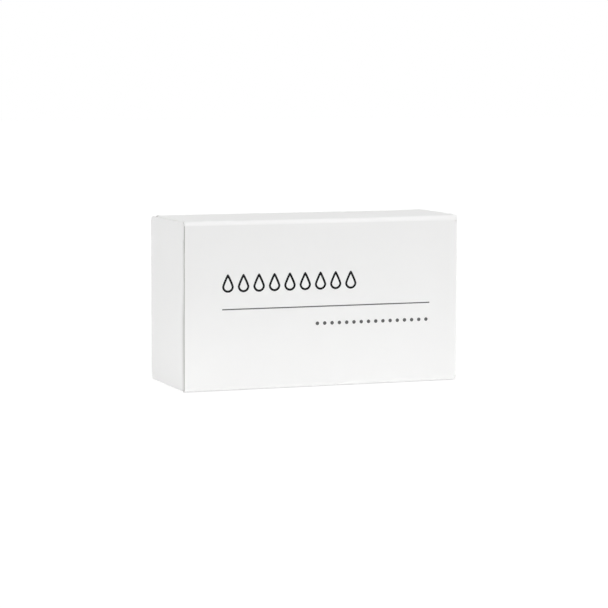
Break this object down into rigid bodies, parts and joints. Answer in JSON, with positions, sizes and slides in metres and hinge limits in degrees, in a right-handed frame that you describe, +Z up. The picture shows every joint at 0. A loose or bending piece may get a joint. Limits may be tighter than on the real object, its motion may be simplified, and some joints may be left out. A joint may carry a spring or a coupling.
{
  "type": "boxed shower cap",
  "caption": "Folded film shower cap with an elastic rim in a small white tuck-end carton, whose end closures, tuck tabs and dust flaps open on their creases.",
  "frame": {"origin": "middle of the carton's base, on the face that it stands on", "axes": "+Z up, +X along the carton's long side towards the right end, front panel towards -Y"},
  "size_m": [0.07, 0.0286, 0.0405],
  "materials": {
    "carton_board": "white coated board, satin outside and matt inside, bare fibre at cut edges",
    "dried_glue": "thin dried seam glue",
    "cap_film": "thin milky clear polyethylene film, soft gloss",
    "elastic": "white covered elastic, matt"
  },
  "bodies": {
    "carton": {"front_panel": "carton_board", "back_panel": "carton_board", "top_panel": "carton_board", "bottom_panel": "carton_board", "glue_flap": "carton_board", "seam_glue": "dried_glue"},
    "left_closure": {"left_closure_panel": "carton_board"},
    "left_tab": {"left_tuck_tab": "carton_board"},
    "left_upper_dust": {"left_upper_dust_flap": "carton_board"},
    "left_lower_dust": {"left_lower_dust_flap": "carton_board"},
    "right_closure": {"right_closure_panel": "carton_board"},
    "right_tab": {"right_tuck_tab": "carton_board"},
    "right_upper_dust": {"right_upper_dust_flap": "carton_board"},
    "right_lower_dust": {"right_lower_dust_flap": "carton_board"},
    "cap": {"cap_film": "cap_film", "elastic_band": "elastic"}
  },
  "joints": [
    {"name": "left_closure_hinge", "type": "hinge", "parent": "carton", "child": "left_closure", "pos_m": [-0.03474, 0.01399, 0.02025], "axis": [0, 0, -1], "range_deg": [0, 150]},
    {"name": "left_tab_fold", "type": "hinge", "parent": "left_closure", "child": "left_tab", "pos_m": [-0.0344, -0.0125, 0.02025], "axis": [0, 0, 1], "range_deg": [0, 82.5]},
    {"name": "left_upper_dust_fold", "type": "hinge", "parent": "carton", "child": "left_upper_dust", "pos_m": [-0.03399, 0, 0.04024], "axis": [0, 1, 0], "range_deg": [0, 90]},
    {"name": "left_lower_dust_fold", "type": "hinge", "parent": "carton", "child": "left_lower_dust", "pos_m": [-0.03399, 0, 0.00026], "axis": [0, -1, 0], "range_deg": [0, 90]},
    {"name": "right_closure_hinge", "type": "hinge", "parent": "carton", "child": "right_closure", "pos_m": [0.03474, -0.01399, 0.02025], "axis": [0, 0, -1], "range_deg": [0, 150]},
    {"name": "right_tab_fold", "type": "hinge", "parent": "right_closure", "child": "right_tab", "pos_m": [0.0344, 0.0125, 0.02025], "axis": [0, 0, 1], "range_deg": [0, 82.5]},
    {"name": "right_upper_dust_fold", "type": "hinge", "parent": "carton", "child": "right_upper_dust", "pos_m": [0.03399, 0, 0.04024], "axis": [0, -1, 0], "range_deg": [0, 90]},
    {"name": "right_lower_dust_fold", "type": "hinge", "parent": "carton", "child": "right_lower_dust", "pos_m": [0.03399, 0, 0.00026], "axis": [0, 1, 0], "range_deg": [0, 90]},
    {"name": "cap_slide", "type": "slide", "parent": "carton", "child": "cap", "axis": [1, 0, 0], "range_m": [-0.0035, 0.0035]}
  ],
  "couplings": [
    {"joint": "left_tab_fold", "follows": "left_closure_hinge", "ratio": 0.55},
    {"joint": "left_upper_dust_fold", "follows": "left_closure_hinge", "ratio": 0.6},
    {"joint": "left_lower_dust_fold", "follows": "left_closure_hinge", "ratio": 0.6},
    {"joint": "right_tab_fold", "follows": "right_closure_hinge", "ratio": 0.55},
    {"joint": "right_upper_dust_fold", "follows": "right_closure_hinge", "ratio": 0.6},
    {"joint": "right_lower_dust_fold", "follows": "right_closure_hinge", "ratio": 0.6}
  ]
}
